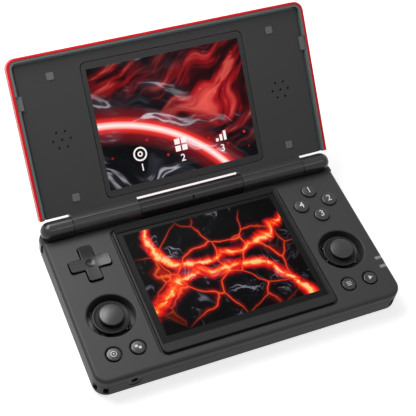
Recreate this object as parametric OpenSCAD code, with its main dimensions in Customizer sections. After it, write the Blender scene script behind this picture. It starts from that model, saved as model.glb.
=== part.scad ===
// Clamshell handheld game console with two screens, standing open.
// Millimetres, +Z up, user in front at -Y. The origin is the middle of the
// footprint of the open console, on the surface that it stands on.

/* [Base housing] */
// Width of the base, side to side
base_w = 160; // [156:1:172]
// Depth of the base, front wall to back wall
base_d = 91; // [90:0.5:98]
// Height of the base housing, without its feet
base_h = 13.3; // [13:0.1:16]
// Radius of the upright corners of the base
corner_r = 7; // [6:0.5:9]
// Height of the upper housing half's side wall
upper_h = 5.1; // [4.6:0.1:5.6]
// Roundover of the upper edge
edge_r = 1.9; // [1:0.1:2.2]
// Roundover of the lower edge
bottom_r = 1.8; // [1:0.1:2.2]
// Thickness of the side walls
wall_t = 2; // [1.6:0.1:2.4]
// Thickness of the top plate
top_t = 2.4; // [2.2:0.1:2.6]
// Thickness of the floor
floor_t = 1.8; // [1.4:0.1:2.2]
// Height of the rubber feet below the floor
foot_h = 0.5; // [0.3:0.1:1]
// Radius of a rubber foot
foot_r = 4; // [3:0.5:5]

/* [Lid] */
// Tilt of the lid above the horizontal in the standing pose
lid_tilt = 45.8; // [30:0.1:80]
// Setback of the lid from the outline of the base
lid_inset = 1.2; // [0.8:0.1:1.6]
// Thickness of the lid, from its rim to its back
lid_t = 8.2; // [7.8:0.1:9]
// Depth of the lid's face below its rim
rim_h = 2; // [2:0.1:2.4]
// Gap between the lid's rim and the base when closed
shut_gap = 0.4; // [0.4:0.05:0.8]
// Thickness of the red shell's side wall
shell_t = 1.2; // [0.9:0.1:1.4]
// Thickness of the inner rim
rim_t = 1.2; // [0.8:0.1:1.4]
// Width of the moat between the inner rim and the front panel
moat_w = 1; // [0.6:0.1:1.2]
// Depth of that moat below the front panel
moat_d = 1; // [0.6:0.1:1.1]
// Radius of the lid's far corners
lid_corner_r = 5; // [4:0.5:7]
// Roundover of the edge at the lid's back
lid_back_r = 3.2; // [2:0.1:3.6]
// Thickness of the front panel
panel_t = 1.6; // [1.4:0.1:1.8]

/* [Hinge] */
// Radius of the hinge barrel
barrel_r = 4.7; // [4.4:0.1:5]
// Distance of the hinge axis from the back wall
axis_in = 4.4; // [4.2:0.1:5]
// Half the length of the middle barrel
mid_half = 28.1; // [22:0.5:34]
// Length of each end cap, with its round end
cap_len = 16; // [12:0.5:20]
// Setback of the caps' round ends from the sides of the base
cap_in = 0.5; // [0.4:0.1:2]
// Gap at each seam of the barrel
seam = 0.25; // [0.15:0.05:0.4]
// Radius of the hinge pins
pin_r = 1.75; // [1.4:0.05:2]
// Radial clearance of the lid's knuckles on the pins
pin_fit = 0.05; // [0.03:0.01:0.1]
// Gap between the barrel and the lower edge of the lid
hinge_gap = 1.2; // [1:0.1:2]

/* [Screens] */
// Width of both pictures
screen_w = 81.3; // [78:0.1:83]
// Height of both pictures
screen_h = 61; // [58:0.1:61.5]
// Black border of the lower screen at its sides
border_side = 2.7; // [2:0.1:3]
// Black border of the lower screen at its front
border_front = 3.5; // [2.5:0.1:4]
// Black border of the lower screen at its back
border_back = 2; // [1.5:0.1:2.2]
// Width of the lower bezel at the sides
bezel_side = 2.1; // [1.9:0.1:2.5]
// Width of the lower bezel at the front
bezel_front = 5.6; // [4:0.1:5.8]
// Width of the lower bezel at the back
bezel_back = 1.7; // [1.6:0.1:1.9]
// Height of the bezel above the top plate
bezel_rise = 0.8; // [0.4:0.1:1.2]
// Run of the slope from the bezel's ridge down to its window
bezel_slope = 1.1; // [0.8:0.1:1.2]
// Depth of the window's edge below the top plate
window_drop = 0.5; // [0.2:0.1:0.6]
// Distance of the lower bezel from the front wall
bezel_in = 5.6; // [5:0.1:6]
// Width of the groove around the bezel
groove_w = 0.9; // [0.7:0.1:1]
// Width of the bevel along the groove's outer edge
groove_bevel = 0.6; // [0.4:0.1:0.7]
// Depth of the groove around the bezel
groove_d = 1.4; // [1.3:0.1:1.5]
// Thickness of the glass over the lower screen
touch_t = 1.2; // [0.8:0.1:1.3]
// Border of the upper glass around its picture, at the sides
lens_side = 2.5; // [1.5:0.1:3]
// Border of the upper glass around its picture, at the ends
lens_end = 3.6; // [2.5:0.1:4]
// Thickness of the upper glass
lens_t = 1; // [0.7:0.1:1.1]
// Distance of the upper picture's middle from the hinge axis
screen_out = 42.8; // [42:0.1:43.6]
// Gap around the upper glass
lens_gap = 0.3; // [0.1:0.05:0.4]

/* [Controls] */
// Distance of the control columns from the side walls
ctrl_in = 18.4; // [18:0.1:19]
// Distance of the sticks from the front wall
stick_in = 33.3; // [32:0.1:34.5]
// Distance of the direction pad and the face buttons from the front wall
pad_in = 64.1; // [63:0.1:65]
// Radius of the well around a stick
well_r = 11.6; // [11.2:0.1:11.8]
// Radius of a stick's cap
cap_r = 6; // [5.2:0.1:6.2]
// Height of a stick's cap above the top plate
cap_rise = 1.8; // [1.6:0.1:2.1]
// Height of the dome on a stick's cap
cap_dome = 0.9; // [0.7:0.1:1.2]
// Roundover of the cap's edge
cap_edge = 0.7; // [0.4:0.1:0.8]
// Radius of the dish below a stick's cap
dish_r = 9; // [8:0.1:9.2]
// Span of the direction pad
dpad_span = 20.6; // [19:0.1:22]
// Width of the direction pad's arms
dpad_arm = 6.8; // [6:0.1:7.6]
// Gap around the direction pad
dpad_gap = 0.4; // [0.35:0.05:0.7]
// Height of the direction pad above the top plate
dpad_rise = 1.7; // [1.2:0.1:1.8]
// Roundover of the direction pad's upper edges
dpad_edge = 0.8; // [0.5:0.1:0.9]
// Radius of a face button
button_r = 3.9; // [3.4:0.1:4.2]
// Distance of the face buttons from the middle of their cluster
button_out = 8; // [7.5:0.1:8.4]
// Height of a face button above the top plate
button_rise = 1.4; // [1:0.1:1.6]
// Roundover of the buttons' upper edges
button_edge = 0.5; // [0.3:0.1:0.6]
// Gap around a face button
button_gap = 0.2; // [0.15:0.05:0.3]
// Radius of a small key
key_r = 3.4; // [3:0.1:3.6]
// Gap around a small key
key_gap = 0.6; // [0.4:0.05:0.7]
// Height of a small key above the top plate
key_rise = 0.4; // [0.2:0.1:0.6]
// Distance of the small keys from the front wall
key_in = 13.1; // [12.5:0.1:14]
// Spacing of a pair of small keys
key_pitch = 12; // [11:0.1:12.5]

/* [Edges and ports] */
// Radius of the headphone socket's bore
jack_r = 1.75; // [1.7:0.01:1.8]
// Depth of the headphone socket's bore
jack_len = 14; // [12:0.5:16]
// Length of a corner button along the back wall
bumper_len = 14.5; // [13:0.5:15]
// Reach of a corner button round the side
bumper_wrap = 8.5; // [8:0.5:10]
// Length of an inner shoulder button
trigger_len = 21; // [16:0.5:22]
// Thickness of the shoulder buttons
bumper_t = 2.4; // [2.2:0.1:2.6]
// Projection of the shoulder buttons from the housing
bumper_out = 0.8; // [0.3:0.1:1]

/* [Hidden] */
$fn = 96;
eps = 0.01;

// levels of the base
z_under = foot_h;
z_top = z_under + base_h;
z_part = z_top - upper_h;
z_floor = z_under + floor_t;
z_ceil = z_top - top_t;
board_t = 1;
board_top = z_ceil - 3.6;
board_z = board_top - board_t;
pad_t = 0.7;
usb_in = 7.7;

// plan of the base
front_y = -base_d / 2;
back_y = base_d / 2;
side_x = base_w / 2;
ctrl_x = side_x - ctrl_in;
stick_y = front_y + stick_in;
pad_y = front_y + pad_in;
key_y = front_y + key_in;
middle_y = (stick_y + pad_y) / 2;

// hinge axis: the lid's face lies face_gap above the top plate when closed
axis_y = back_y - axis_in;
face_gap = rim_h + shut_gap;
face_w = 0.64;
axis_z = z_top + face_gap + face_w;
rim_w = face_w + rim_h;
back_w = rim_w - lid_t;
lid_low = barrel_r + hinge_gap;
lid_far = axis_y - front_y - lid_inset;
lid_x = side_x - lid_inset;
cap_x = side_x - cap_in;
cap_seam = cap_x - cap_len;
trough_r = barrel_r + 0.4;
seat_z = z_top - 0.7;
rib_y = axis_y - trough_r - 1.6;

// lower screen
window_w = screen_w + 2 * border_side;
window_d = screen_h + border_front + border_back;
bezel_w = window_w + 2 * bezel_side;
bezel_d = window_d + bezel_front + bezel_back;
bezel_y = front_y + bezel_in + bezel_d / 2;
window_y = front_y + bezel_in + bezel_front + window_d / 2;
bezel_r = 2.8;
bezel_floor = z_top - groove_d;
glass_margin = 0.7;
glass_top = z_top - window_drop - 0.4;
display_t = 1.8;
pocket = glass_margin + 0.1;

// upper screen and what stands beside it
lens_w = screen_w + 2 * lens_side;
lens_d = screen_h + 2 * lens_end;
face_half = lid_x - shell_t - rim_t - moat_w;
beside = (lens_w / 2 + face_half) / 2;
speaker_w = 14;
speaker_l = 20;
speaker_t = 2.4;

// lid's side tabs
tab_w = 3;
tab_l = 7.1;
tab_in = 21.7;

// controls
hole_skin = z_ceil - 0.1;
flange_t = 0.7;
key_travel = 0.5;
jack_z = z_ceil - 3.8;
jack_roof = hole_skin - flange_t - key_travel - 0.2;
pivot_z = z_top - 6.6;
yoke_span = 12.4;
bumper_swing = 0.6;
tray_half = 8.5;
spider_z = board_top + 1.2;
spider_r = 0.5;
spider_out = 3.2;

// shoulder buttons
button_play = 0.3;
bumper_top = z_top - 1.5;
trigger_top = z_top - 3;
button_low = z_top - 7.4;
rod_r = 0.6;
bumper_post_x = side_x - bumper_len + 1.5;
bumper_post_y = back_y - 3.2;
trigger_x1 = side_x - bumper_len - 2;
trigger_x0 = trigger_x1 - trigger_len;
rod_y = back_y - 1.1;
rod_z = trigger_top - 1.1;

// case screws, battery and keys in the right wall
screw_beside = 4.55;
screw_from_side = 5.6;
screw_from_front = 5.2;
screw_from_back = 15.5;
screws = [[bezel_w / 2 + screw_beside, front_y + screw_from_front],
  [side_x - screw_from_side, middle_y],
  [bezel_w / 2 + screw_beside, back_y - screw_from_back]];
battery_beside = 19.6;
battery_short = 27.8;
battery_from_front = 10;
battery_half = ctrl_x - battery_beside;
battery_d = bezel_d - battery_short;
rocker_y = pad_y + 1.9;
rocker_l = 13.8;
power_y = middle_y - 1.7;
power_l = 7.8;
key_low = z_part - 1.3;
vent_pitch = 2.8;
vent_w = 1.2;
vent_l = 15;
key_high = z_part + 0.9;
edge_play = 0.3;
boss_r = 2;
corner_block = 7.4;
shoulder_r = 3.4;

// the open console's box is centred on the origin
lid_reach = (lid_far - lid_back_r) * cos(lid_tilt) - (back_w + lid_back_r) * sin(lid_tilt)
  + lid_back_r;
shift_y = -(front_y + axis_y + lid_reach) / 2;

charcoal = "#4b4b4b";

module place() {
  translate([0, shift_y, 0]) children();
}

module in_lid() {
  place() translate([0, axis_y, axis_z]) rotate([lid_tilt, 0, 0]) children();
}

// rectangle w by d with round corners, centred
module rounded(w, d, r) {
  square([w - 2 * r, d], center = true);
  square([w, d - 2 * r], center = true);
  for (sx = [-1, 1], sy = [-1, 1]) translate([sx * (w / 2 - r), sy * (d / 2 - r)]) circle(r);
}

module prism(w, d, r, z0, z1) {
  translate([0, 0, z0]) linear_extrude(z1 - z0) rounded(w, d, r);
}

// a half profile, children(), carried round a rectangle with round corners
module plan_sweep(w, d, r) {
  for (sx = [-1, 1], sy = [-1, 1]) translate([sx * (w / 2 - r), sy * (d / 2 - r), 0]) {
    $reach = r;
    rotate_extrude() children();
  }
  rotate([90, 0, 0]) linear_extrude(d - 2 * r, center = true) {
    $reach = w / 2;
    children();
    mirror([1, 0]) children();
  }
  rotate([90, 0, 90]) linear_extrude(w - 2 * r, center = true) {
    $reach = d / 2;
    children();
    mirror([1, 0]) children();
  }
}

// half profile with rounded lower and upper edges
module soft_profile(z0, z1, r0, r1) intersection() {
  square_from(0, z0, $reach, z1);
  union() {
    square_from(0, z0 + r0, $reach, z1 - r1);
    square_from(0, z0, $reach - r0, z0 + r0 + eps);
    square_from(0, z1 - r1 - eps, $reach - r1, z1);
    translate([$reach - r0, z0 + r0]) circle(r0);
    translate([$reach - r1, z1 - r1]) circle(r1);
  }
}

// turned cap of radius r from z0 up to z1, with a crown of radius dome and a round edge e
module crowned(r, z0, z1, dome, e) {
  middle = z1 - dome;
  edge_z = middle + sqrt(pow(dome - e, 2) - pow(r - e, 2));
  meet = (r - e) * dome / (dome - e);
  rotate_extrude() {
    square_from(0, z0, r, edge_z);
    intersection() {
      translate([0, middle]) circle(dome, $fn = 360);
      square_from(0, z0, meet, z1 + 1);
    }
    translate([r - e, edge_z]) circle(e, $fn = 48);
  }
}

module square_from(x0, y0, x1, y1) {
  translate([x0, y0]) square([x1 - x0, y1 - y0]);
}

module box_from(a, b) {
  translate(a) cube(b - a);
}

// cylinder along X from x0 to x1 on the hinge axis of the base
module barrel(r, x0, x1) {
  translate([x0, axis_y, axis_z]) rotate([0, 90, 0]) cylinder(r = r, h = x1 - x0);
}

// fine groove along the crown of the barrel
module crown_groove(x0, x1) {
  translate([x0, axis_y, axis_z]) rotate([8.7, 0, 0])
    translate([0, -0.18, barrel_r - 0.25]) cube([x1 - x0, 0.36, 1]);
}

module base_form() {
  plan_sweep(base_w, base_d, corner_r) soft_profile(z_under, z_top, bottom_r, edge_r);
}

module at_screws() {
  for (side = [-1, 1], s = screws) translate([side * s[0], s[1], 0]) children();
}

// ring between the outlines that stand out by a and in by b, in plan
module wall_plan(a, b) {
  difference() {
    rounded(base_w + 2 * a, base_d + 2 * a, corner_r + a);
    rounded(base_w - 2 * b, base_d - 2 * b, max(corner_r - b, 0.5));
  }
}

// region at the back right corner that a shoulder button fills
module corner_zone(len, fwd) {
  translate([side_x - len, back_y - fwd]) square([len + 5, fwd + 5]);
}

module cross_plan(span, arm, r) {
  rounded(span, arm, r);
  rounded(arm, span, r);
}

module base_top_shell() color(charcoal) place() difference() {
  union() {
    difference() {
      intersection() {
        base_form();
        box_from([-side_x - 1, front_y - 1, z_part], [side_x + 1, back_y + 1, z_top + 1]);
      }
      prism(base_w - 2 * wall_t, base_d - 2 * wall_t, corner_r - wall_t, z_part - 1, z_ceil);
    }
    for (s = [-1, 1]) translate([s * ctrl_x, stick_y, board_top + 0.2])
      cylinder(r = well_r + 1.2, h = z_ceil - board_top - 0.1);
    intersection() {
      prism(base_w - 2, base_d - 2, corner_r - 1, z_ceil - 1.8, z_ceil + 0.1);
      box_from([-cap_seam - 2, rib_y, 0], [cap_seam + 2, back_y, z_top]);
    }
    at_screws() translate([0, 0, board_top]) cylinder(r = boss_r, h = z_ceil - board_top + 0.1);
  }
  for (s = [-1, 1]) translate([s * ctrl_x, stick_y, 0]) stick_well();
  translate([-ctrl_x, pad_y, z_ceil - 1]) linear_extrude(top_t + 2)
    cross_plan(dpad_span + 2 * dpad_gap, dpad_arm + 2 * dpad_gap, 1.6);
  at_buttons() translate([0, 0, z_ceil - 1]) cylinder(r = button_r + button_gap, h = top_t + 2);
  at_keys() translate([0, 0, z_ceil - 1]) cylinder(r = key_r + key_gap, h = top_t + 2);
  at_keys() translate([0, 0, z_top - 0.4]) cylinder(r1 = key_r + key_gap, r2 = key_r + key_gap + 0.5, h = 0.5);
  translate([0, bezel_y, 0]) {
    plan_sweep(bezel_w + 2 * groove_w, bezel_d + 2 * groove_w, bezel_r + groove_w) groove_profile();
  }
  translate([0, window_y, 0])
    prism(window_w + 2 * pocket, window_d + 2 * pocket, 1, z_ceil - 2, z_top);
  hinge_bed();
  shoulder_cuts(z_part - 1);
  light_cuts(0.05);
  jack_cut();
  at_screws() cylinder(r = 0.8, h = z_ceil);
  port_cuts();
  side_key_cuts();
  translate([0, 0, z_part - eps]) linear_extrude(0.25) wall_plan(1, 0.25);
}

// half profile of the bezel's bed, with a bevelled mouth
module groove_profile() {
  polygon([[0, bezel_floor], [$reach, bezel_floor], [$reach, z_top - groove_bevel],
    [$reach + groove_bevel + eps, z_top + eps], [$reach + groove_bevel + eps, z_top + 1], [0, z_top + 1]]);
}

// hole for a stick, with a round lip
module stick_well() {
  cylinder(r = well_r, h = z_top + 1);
  translate([0, 0, z_top]) rotate_extrude() difference() {
    square_from(well_r - 1, -0.8, well_r + 0.8, 1);
    translate([well_r + 0.8, -0.8]) circle(0.8);
  }
}

module at_buttons() {
  for (a = [0, 90, 180, 270]) translate([ctrl_x, pad_y, 0]) rotate(a) translate([button_out, 0, 0])
    children();
}

module at_keys() {
  for (s = [-1, 1], k = [-0.5, 0.5]) translate([s * (ctrl_x + k * key_pitch), key_y, 0]) children();
}

// trough for the lid's knuckles, seats for the fixed barrels
module hinge_bed() {
  barrel(trough_r, -cap_seam - 0.5, cap_seam + 0.5);
  for (s = [0, 1]) mirror([s, 0, 0]) {
    box_from([mid_half - 0.4, axis_y - eps, axis_z - trough_r], [cap_seam + 0.6, back_y + 1, z_top + 1]);
    box_from([cap_seam - 0.1, axis_y - barrel_r, seat_z], [side_x, back_y + 1, z_top + 1]);
  }
  box_from([-mid_half - 0.4, axis_y - barrel_r, seat_z], [mid_half + 0.4, back_y + 1, z_top + 1]);
}

// room for the shoulder buttons and their rods, down to level z0
module shoulder_cuts(z0) {
  for (s = [0, 1]) mirror([s, 0, 0]) {
    corner_room(z0, bumper_top + button_play);
    box_from([trigger_x0 - button_play, back_y - bumper_t - button_play, max(z0, button_low - button_play)],
      [trigger_x1 + button_play, back_y + 2, trigger_top + button_play]);
    shoulder_rods();
  }
}

module corner_room(z0, z1) {
  low = max(z0, button_low - button_play);
  translate([0, 0, low]) linear_extrude(z1 - low) {
    intersection() {
      wall_plan(3, bumper_t + button_play + bumper_swing);
      corner_zone(bumper_len + button_play, bumper_wrap + 1);
    }
    translate([bumper_post_x, bumper_post_y]) circle(1.5 + button_play);
  }
}

// steel rods that the shoulder buttons turn on, at the right
module shoulder_rods() {
  translate([bumper_post_x, bumper_post_y, button_low - 2]) cylinder(r = rod_r, h = z_top - 1 - button_low + 2);
  translate([trigger_x0 - 1.5, rod_y, rod_z]) rotate([0, 90, 0]) cylinder(r = rod_r, h = trigger_len + 3);
}

module button_pins() color("#a5a7ab") place() for (s = [0, 1]) mirror([s, 0, 0]) shoulder_rods();

module light_cuts(g) {
  for (k = [0, 1]) translate([0, key_y + 4.3 + k * 5.3 - 0.85 - g, 0])
    box_from([side_x - 4.4 - g, 0, z_top - 3.2 - g], [side_x + 1, 1.7 + 2 * g, z_top + 1]);
}

module jack_axis() {
  translate([-ctrl_x, front_y, jack_z]) rotate([-90, 0, 0]) children();
}

module jack_cut() {
  jack_axis() translate([0, 0, -1]) cylinder(r = 3.25, h = wall_t + 2);
}

// openings in the back wall: charging socket and air outlet
module port_cuts() {
  box_from([-4.7, back_y - wall_t - 1, z_under + 3.3], [4.7, back_y + 1, z_under + 6.9]);
  for (s = [-1, 1], x = [16 : 2.6 : trigger_x0 - 3]) translate([s * x, 0, 0])
    box_from([-0.6, back_y - wall_t - 1, z_under + 3], [0.6, back_y + 1, z_part - 1.1]);
}

// key of length l in the right wall, grown by g
module edge_key(y, l, x0, g) {
  box_from([x0, y - l / 2 - g, key_low - g], [side_x - 0.05 + 4 * g, y + l / 2 + g, key_high + g]);
}

module side_key_cuts() {
  edge_key(rocker_y, rocker_l, side_x - wall_t - 1, edge_play);
  edge_key(power_y, power_l, side_x - wall_t - 1, edge_play);
}

module base_bottom_shell() color(charcoal) place() difference() {
  union() {
    difference() {
      intersection() {
        base_form();
        box_from([-side_x - 1, front_y - 1, z_under - 1], [side_x + 1, back_y + 1, z_part]);
      }
      prism(base_w - 2 * wall_t, base_d - 2 * wall_t, corner_r - wall_t, z_floor, z_part + 1);
    }
    for (s = [-1, 1]) {
      intersection() {
        prism(base_w - 2, base_d - 2, corner_r - 1, z_floor - 0.1, z_part);
        translate([s * side_x, front_y, z_floor - 1]) linear_extrude(base_h)
          square(2 * corner_block, center = true);
      }
      translate([s * bumper_post_x, bumper_post_y, z_floor - 0.1])
        cylinder(r = 2, h = button_low - button_play - z_floor + 0.1);
    }
    at_screws() translate([0, 0, z_floor - 0.1]) cylinder(r = shoulder_r, h = board_z - z_floor + 0.1);
  }
  for (s = [0, 1]) mirror([s, 0, 0]) strap_slots();
  shoulder_cuts(z_under);
  jack_cut();
  port_cuts();
  side_key_cuts();
  at_feet() translate([0, 0, z_under - 1]) cylinder(r = foot_r + 0.1, h = 1.6);
  at_screws() {
    cylinder(r = 1.05, h = z_part + 1);
    cylinder(r = 2.1, h = z_under + 2.2);
  }
  for (k = [-7 : 7]) translate([vent_pitch * k, pad_y - 2.1, z_under - 1]) slot(vent_w, vent_l, floor_t + 2);
}

// upright slot with round ends, centred, along Y
module slot(w, l, h) {
  linear_extrude(h) {
    square([w, l - w], center = true);
    for (s = [-1, 1]) translate([0, s * (l - w) / 2]) circle(w / 2, $fn = 24);
  }
}

// passage for a strap round the front corner, with a post left at the corner
module strap_slots() {
  box_from([side_x - 5.9, front_y - 1, z_part - 5.4], [side_x - 3.4, front_y + 4.7, z_part - 0.9]);
  box_from([side_x - 4.9, front_y + 3.1, z_part - 5.4], [side_x + 1, front_y + 5.7, z_part - 0.9]);
}

module at_feet() {
  for (sx = [-1, 1], sy = [-1, 1])
    translate([sx * (side_x - 13), sy < 0 ? front_y + 17 : back_y - 10, 0]) children();
}

module rubber_feet() color("#1b1b1c") place() at_feet() {
  translate([0, 0, 0]) cylinder(r = foot_r, h = foot_h + 0.6);
}

module case_screws() color("#8f9094") place() at_screws() difference() {
  union() {
    translate([0, 0, z_under + 1]) cylinder(r = 1.9, h = 1.2);
    translate([0, 0, z_under + 2.1]) cylinder(r = 0.8, h = z_ceil - z_under - 2.3);
  }
  translate([0, 0, z_under]) cylinder(r = 0.9, h = 1.7, $fn = 6);
}

module lower_bezel() color("#3d3d3f") place() difference() {
  translate([0, bezel_y, 0]) plan_sweep(bezel_w, bezel_d, bezel_r)
    soft_profile(bezel_floor, z_top + bezel_rise, eps, 0.45);
  translate([0, window_y, 0]) {
    prism(window_w, window_d, 0.4, bezel_floor - 1, z_top + 2);
    prism(window_w + 2 * glass_margin, window_d + 2 * glass_margin, 1, bezel_floor - 1, glass_top);
    // the face falls from the ridge to the window on all four sides
    intersection() {
      rotate([90, 0, 0]) linear_extrude(bezel_d + 9, center = true) dish_plan(window_w / 2);
      rotate([90, 0, 90]) linear_extrude(bezel_w + 9, center = true) dish_plan(window_d / 2);
    }
  }
}

module dish_plan(half) {
  low = z_top - window_drop;
  high = z_top + bezel_rise + eps;
  polygon([[-half - bezel_slope, high], [-half, low], [half, low], [half + bezel_slope, high],
    [half + bezel_slope, high + 1], [-half - bezel_slope, high + 1]]);
}

module lower_touch_glass() color("#101012") place() translate([0, window_y, 0])
  prism(window_w + 2 * glass_margin - 0.1, window_d + 2 * glass_margin - 0.1, 0.95,
    glass_top - touch_t, glass_top);

module lower_display() color("#7c1d16") place() translate([0, window_y, 0])
  prism(window_w + 2 * glass_margin - 0.6, window_d + 2 * glass_margin - 0.6, 0.6,
    glass_top - touch_t - display_t, glass_top - touch_t);

module main_board() color("#18191b") place() difference() {
  prism(base_w - 2 * wall_t - 1, base_d - 2 * wall_t - 1, corner_r - wall_t, board_z, board_top);
  for (s = [-1, 1]) {
    translate([s * ctrl_x, stick_y, board_z - 1])
      linear_extrude(3) square(2 * tray_half + 0.6, center = true);
    translate([s * side_x, front_y, board_z - 1]) linear_extrude(3)
      square(2 * corner_block + 0.6, center = true);
    translate([s * (side_x + trigger_x0 - 3) / 2, back_y, board_z - 1])
      linear_extrude(3) square([side_x - trigger_x0 + 3, 20], center = true);
  }
  at_screws() translate([0, 0, board_z - 1]) cylinder(r = 1.1, h = 3);
  jack_axis() translate([-3.2, -10, -1]) cube([6.4, 20, jack_len + 2]);
  box_from([-4.45, back_y - usb_in, board_z - 1], [4.45, back_y, board_top + 1]);
  box_from([side_x - 4, power_y - power_l / 2 - 2, board_z - 1],
    [side_x, rocker_y + rocker_l / 2 + 2, board_top + 1]);
}

module battery() color("#35373b") place() translate([0, front_y + battery_from_front + battery_d / 2, 0])
  prism(2 * battery_half, battery_d, 2, z_floor, board_z - 0.4);

module barrel_block(x0, x1) {
  intersection() {
    union() {
      barrel(barrel_r, x0, x1);
      box_from([x0, axis_y - barrel_r + 0.4, seat_z], [x1, axis_y + barrel_r - 0.5, axis_z]);
    }
    box_from([x0 - 9, axis_y - 20, seat_z], [x1 + 9, axis_y + 20, axis_z + 20]);
  }
}

module mid_barrel() color(charcoal) place() difference() {
  barrel_block(-mid_half, mid_half);
  crown_groove(-mid_half - 1, mid_half + 1);
  for (s = [0, 1]) mirror([s, 0, 0]) barrel(pin_r, mid_half - 6, mid_half + 1);
  translate([0, axis_y, axis_z]) rotate([50, 0, 0]) translate([0, 0, barrel_r - 1.4]) slot(0.8, 2.2, 3);
}

module end_cap() difference() {
  intersection() {
    union() {
      barrel(barrel_r, cap_seam, cap_x - barrel_r);
      translate([cap_x - barrel_r, axis_y, axis_z]) sphere(barrel_r);
      box_from([cap_seam, axis_y - barrel_r + 0.4, seat_z],
        [cap_x - barrel_r, axis_y + barrel_r - 0.5, axis_z]);
      translate([cap_x - barrel_r, axis_y, seat_z]) cylinder(r = barrel_r - 0.5, h = axis_z - seat_z);
    }
    box_from([cap_seam, axis_y - 20, seat_z], [cap_x + 1, axis_y + 20, axis_z + 20]);
  }
  crown_groove(cap_seam - 1, cap_x - barrel_r);
  barrel(pin_r, cap_seam - 1, cap_seam + 6);
}

module left_end_cap() color(charcoal) place() mirror([1, 0, 0]) end_cap();

module right_end_cap() color(charcoal) place() end_cap();

module hinge_pins() color("#a5a7ab") place() for (s = [0, 1]) mirror([s, 0, 0])
  barrel(pin_r, mid_half - 6, cap_seam + 6);

module headphone_jack() color("#161617") place() jack_axis() difference() {
  union() {
    translate([0, 0, 0.3]) cylinder(r = 3.2, h = wall_t - 0.3);
    translate([-3.2, jack_z - jack_roof, wall_t]) cube([6.4, jack_roof - jack_z + 3.1, jack_len - wall_t + 1]);
  }
  cylinder(r = jack_r, h = jack_len);
  cylinder(r1 = 2.3, r2 = jack_r, h = 0.7);
}

module usb_socket() color("#a5a7ab") place() translate([0, 0, z_under + 5.1]) rotate([90, 0, 0])
  translate([0, 0, -back_y + 0.3]) {
    linear_extrude(usb_in - 0.3) difference() {
      rounded(8.9, 3.2, 1.55);
      rounded(8.3, 2.6, 1.25);
    }
    // back wall and contact tongue
    translate([0, 0, usb_in - 1.1]) linear_extrude(0.8) rounded(8.9, 3.2, 1.55);
    translate([0, 0, 1.2]) linear_extrude(usb_in - 1.6) square([6.7, 0.7], center = true);
  }

module light_guides() color("#8f9194") place() difference() {
  intersection() {
    light_cuts(0);
    base_form();
  }
  box_from([0, front_y, 0], [side_x - wall_t, 0, z_ceil]);
}

module stick_trays() color("#202123") place() for (s = [-1, 1])
  translate([s * ctrl_x, stick_y, z_floor]) difference() {
    linear_extrude(pivot_z - z_floor + 0.6) square(2 * tray_half, center = true);
    translate([0, 0, pivot_z - z_floor - 3.1]) linear_extrude(9) square(2 * tray_half - 2.4, center = true);
  }

// the stick's slide, which clicks down in its tray
module stick_carriage() translate([0, 0, pivot_z]) difference() {
  translate([0, 0, -2.2]) linear_extrude(3.2) difference() {
    square(13, center = true);
    square(10.4, center = true);
  }
  rotate([0, 90, 0]) cylinder(r = 0.85, h = 20, center = true);
}

// the ring that tilts fore and aft on two pins
module stick_yoke() translate([0, 0, pivot_z]) difference() {
  union() {
    translate([0, 0, -1.3]) linear_extrude(2.6) square(9.2, center = true);
    rotate([0, 90, 0]) cylinder(r = 0.8, h = yoke_span, center = true);
  }
  translate([0, 0, -3]) linear_extrude(6) square(5.8, center = true);
  rotate([90, 0, 0]) cylinder(r = 0.85, h = 20, center = true);
}

// cap, ringed neck, dish and shaft in one, on a cross pin
module stick_body() translate([0, 0, pivot_z]) {
  top = z_top - pivot_z + cap_rise;
  low = z_top - pivot_z - 2.4;
  dome_r = (cap_r * cap_r + cap_dome * cap_dome) / (2 * cap_dome);
  sphere(2.2);
  rotate([90, 0, 0]) cylinder(r = 0.8, h = 8.8, center = true);
  cylinder(r = 1.5, h = low + 0.5);
  crowned(cap_r, top - 1.8, top, dome_r, cap_edge);
  translate([0, 0, low]) cylinder(r = 4.4, h = top - 1.7 - low);
  translate([0, 0, top - 2.7]) cylinder(r = 5.4, h = 0.5);
  translate([0, 0, top - 3.5]) cylinder(r = 5, h = 0.5);
  translate([0, 0, low]) rotate_extrude() {
    polygon([[0, -0.5], [dish_r - 1, 0], [dish_r, 0], [dish_r, 0.7], [dish_r - 0.7, 0.9],
      [dish_r - 1.6, 0.5], [0, 0.3]]);
  }
}

module at_stick(s) place() translate([s * ctrl_x, stick_y, 0]) children();

module left_stick_carriage() color("#77797d") at_stick(-1) stick_carriage();
module left_stick_yoke() color("#d8d8d4") at_stick(-1) stick_yoke();
module left_stick() color(charcoal) at_stick(-1) stick_body();
module right_stick_carriage() color("#77797d") at_stick(1) stick_carriage();
module right_stick_yoke() color("#d8d8d4") at_stick(1) stick_yoke();
module right_stick() color(charcoal) at_stick(1) stick_body();

module at_dpad() place() translate([-ctrl_x, pad_y, 0]) children();

// two posts with open bearings, which the direction pad's spider snaps into
module dpad_cradle() color("#d8d8d4") at_dpad() difference() {
  for (s = [-1, 1]) translate([s * (spider_out + 0.6), 0, board_top])
    linear_extrude(spider_z - board_top + 0.25) square([1.2, 1.8], center = true);
  translate([0, 0, spider_z]) rotate([0, 90, 0]) cylinder(r = spider_r + 0.05, h = 20, center = true);
}

module dpad_spider() color("#a5a7ab") at_dpad() translate([0, 0, spider_z]) {
  rotate([0, 90, 0]) cylinder(r = spider_r, h = 2 * spider_out + 2.2, center = true);
  rotate([90, 0, 0]) cylinder(r = spider_r, h = 2 * spider_out + 2.2, center = true);
}

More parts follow.
